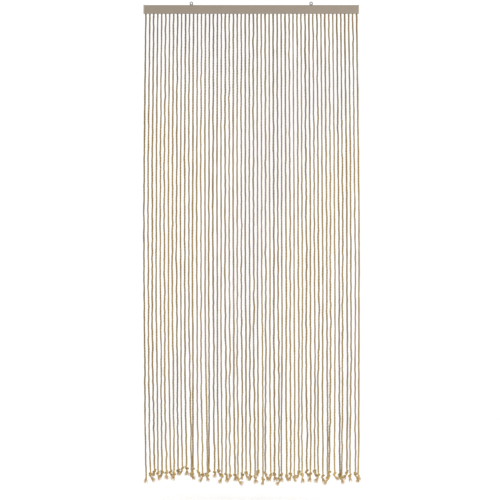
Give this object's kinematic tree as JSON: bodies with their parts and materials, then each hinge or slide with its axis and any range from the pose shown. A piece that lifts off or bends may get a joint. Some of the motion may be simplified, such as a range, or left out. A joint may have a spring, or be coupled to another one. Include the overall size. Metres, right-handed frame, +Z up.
{
  "type": "string door curtain with rail",
  "caption": "Door curtain of knotted natural ropes hanging side by side from a slim capped rail, hung up by screw eyes on the rail's top edge.",
  "frame": {"origin": "middle of the rail's top face, half way between the two hanging eyes", "axes": "+Z up along the ropes, +X along the rail to the right seen from the front, +Y to the back"},
  "size_m": [0.905, 0.0278, 2.0259],
  "materials": {
    "rail": "matt taupe",
    "end_cap": "satin taupe",
    "rope": "twisted natural fibre, straw at the cut ends",
    "steel": "zinc plated"
  },
  "bodies": {
    "root": {"rail": "rail", "end_cap_left": "end_cap", "end_cap_right": "end_cap", "hanging_eye_left": "steel", "hanging_eye_right": "steel", "ropes": "rope"}
  },
  "joints": []
}
